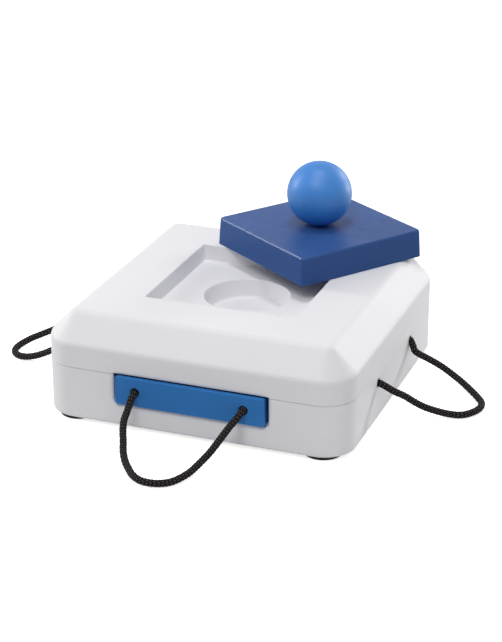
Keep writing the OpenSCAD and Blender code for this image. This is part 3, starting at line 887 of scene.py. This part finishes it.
def make_ball():
    middle = BALL_RADIUS - BALL_FLAT
    start = -math.acos(BALL_FLAT / BALL_RADIUS - 1) + QUARTER
    pilot_rim = BALL_PILOT + BALL_PILOT_EDGE
    profile = [(BALL_PILOT, BALL_PILOT_DEPTH), (BALL_PILOT, BALL_PILOT_EDGE), (pilot_rim, 0)]
    for i in range(BALL_STEPS):
        a = start + (QUARTER - start) * i / BALL_STEPS
        profile.append((BALL_RADIUS * math.cos(a), middle + BALL_RADIUS * math.sin(a)))
    rings = moved(lathe_rings(profile, BALL_SIDES), Matrix.Translation((0, 0, LID_HEIGHT)))
    ball = solid("ball_turned", moved(rings, on_laid_lid()))
    dress(ball, "lid", "ball_plastic", ["ball_knob"])


# Feet

def make_feet():
    profile = [(FOOT_RADIUS - FOOT_EDGE + out, height)
               for out, height in quarter_turn(0, 0, FOOT_EDGE, FOOT_EDGE, 6, True)]
    profile += [(FOOT_RADIUS - inset, FOOT_HEIGHT - FOOT_TOP_EDGE + rise)
                for inset, rise in quarter_turn(0, 0, FOOT_TOP_EDGE, FOOT_TOP_EDGE, 3, False)]
    names = ("foot_rear_right", "foot_front_right", "foot_rear_left", "foot_front_left")
    places = ((1, 1), (1, -1), (-1, 1), (-1, -1))
    for name, (sx, sy) in zip(names, places):
        rings = moved(lathe_rings(profile), Matrix.Translation((sx * FOOT_X, sy * FOOT_Y, 0)))
        dress(solid(name + "_pad", rings), "case", "foot_rubber", [name])


def dress_screws():
    for name in ("case_screws", "knob_screw", "knob_washer"):
        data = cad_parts[name].data
        data.materials.clear()
        data.materials.append(MATERIALS["screw_steel"])


# Stage and light

def shown_level(tree, camera, reflected):
    """One level on camera rays, one on glossy and transmission rays, and 0 on those that light the object."""
    path = tree.nodes.new("ShaderNodeLightPath")
    levels = (("Is Camera Ray", camera), ("Is Glossy Ray", reflected), ("Is Transmission Ray", reflected))
    total = None
    for name, level in levels:
        share = tree.nodes.new("ShaderNodeMath")
        share.operation = "MULTIPLY_ADD"
        share.inputs[1].default_value = level
        share.inputs[2].default_value = 0
        tree.links.new(path.outputs[name], share.inputs[0])
        if total:
            tree.links.new(total, share.inputs[2])
        total = share.outputs[0]
    return total


def make_world():
    """A faint even light, and the white backdrop that shows behind the object."""
    world = bpy.data.worlds.new("studio")
    bpy.context.scene.world = world
    world.use_nodes = True
    tree = world.node_tree
    ambient = tree.nodes["Background"]
    ambient.inputs["Color"].default_value = (1, 1, 1, 1)
    ambient.inputs["Strength"].default_value = AMBIENT
    shown = tree.nodes.new("ShaderNodeBackground")
    shown.inputs["Strength"].default_value = BACKGROUND
    shown.inputs["Color"].default_value = (1, 1, 1, 1)
    mix = tree.nodes.new("ShaderNodeMixShader")
    tree.links.new(shown_level(tree, 1, 1), mix.inputs["Fac"])
    tree.links.new(ambient.outputs[0], mix.inputs[1])
    tree.links.new(shown.outputs[0], mix.inputs[2])
    tree.links.new(mix.outputs[0], tree.nodes["World Output"].inputs["Surface"])


def make_floor():
    material = bpy.data.materials.new("floor")
    material.use_nodes = True
    tree = material.node_tree
    tree.nodes.remove(tree.nodes["Principled BSDF"])
    paper = tree.nodes.new("ShaderNodeBsdfDiffuse")
    paper.inputs["Color"].default_value = (FLOOR_SHADE, FLOOR_SHADE, FLOOR_SHADE, 1)
    glow = tree.nodes.new("ShaderNodeEmission")
    tree.links.new(shown_level(tree, FLOOR_GLOW, FLOOR_GLOW_REFLECTED), glow.inputs["Strength"])
    both = tree.nodes.new("ShaderNodeAddShader")
    tree.links.new(paper.outputs[0], both.inputs[0])
    tree.links.new(glow.outputs[0], both.inputs[1])
    tree.links.new(both.outputs[0], tree.nodes["Material Output"].inputs["Surface"])
    ring = lathe_rings([(FLOOR_RADIUS, -FLOOR_DROP)], FLOOR_SIDES)[0]
    data = bpy.data.meshes.new("floor")
    data.from_pydata([tuple(p) for p in ring], [], [list(range(len(ring)))])
    data.materials.append(material)
    floor = bpy.data.objects.new("floor", data)
    bpy.context.scene.collection.objects.link(floor)


def make_lights():
    for name, direction, distance, width, height, watts in LIGHTS:
        data = bpy.data.lights.new(name, "AREA")
        data.shape = "RECTANGLE"
        data.size = width
        data.size_y = height
        data.energy = watts
        lamp = bpy.data.objects.new(name, data)
        bpy.context.scene.collection.objects.link(lamp)
        away = Vector(direction).normalized()
        lamp.location = LIGHT_AIM + away * distance
        lamp.rotation_euler = (-away).to_track_quat("-Z", "Y").to_euler()


make_camera()
make_cords()
make_upper_shell()
make_lower_shell()
make_drawer()
make_lid()
make_ball()
make_feet()
dress_screws()
make_world()
make_floor()
make_lights()
bpy.context.scene.view_settings.view_transform = "Standard"
